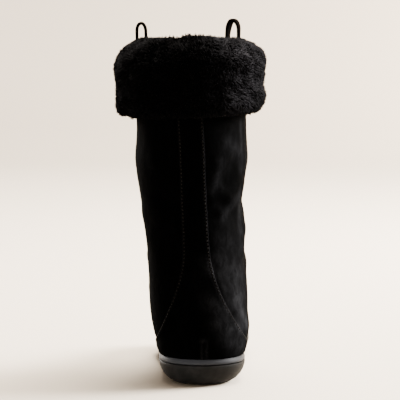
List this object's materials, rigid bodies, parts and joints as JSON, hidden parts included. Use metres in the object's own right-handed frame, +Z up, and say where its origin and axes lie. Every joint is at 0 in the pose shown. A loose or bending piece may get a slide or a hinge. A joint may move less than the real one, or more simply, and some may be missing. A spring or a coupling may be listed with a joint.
{
  "type": "winter boot",
  "caption": "Tall suede pull-on winter boot for the left foot, with a turned-down shearling cuff, pull loops and a rounded rubber sole.",
  "frame": {"origin": "on the floor, under the centre of the heel", "axes": "+X to the inner side of the foot, which is the right seen from behind, +Y to the toe, +Z up"},
  "size_m": [0.1327, 0.2798, 0.3088],
  "materials": {
    "sole_rubber": "satin moulded rubber, near black",
    "band_rubber": "satin rubber strip, a little greyer than the sole",
    "suede": "black suede with a short nap",
    "fleece": "black short fleece",
    "shearling": "black deep shearling fleece",
    "strap": "very dark folded suede strap"
  },
  "bodies": {
    "root": {"outsole": "sole_rubber", "foxing_band": "band_rubber", "upper": "suede", "back_stay": "suede", "footbed": "fleece", "cuff": "shearling", "pull_loop_outer": "strap", "pull_loop_inner": "strap"}
  },
  "joints": []
}
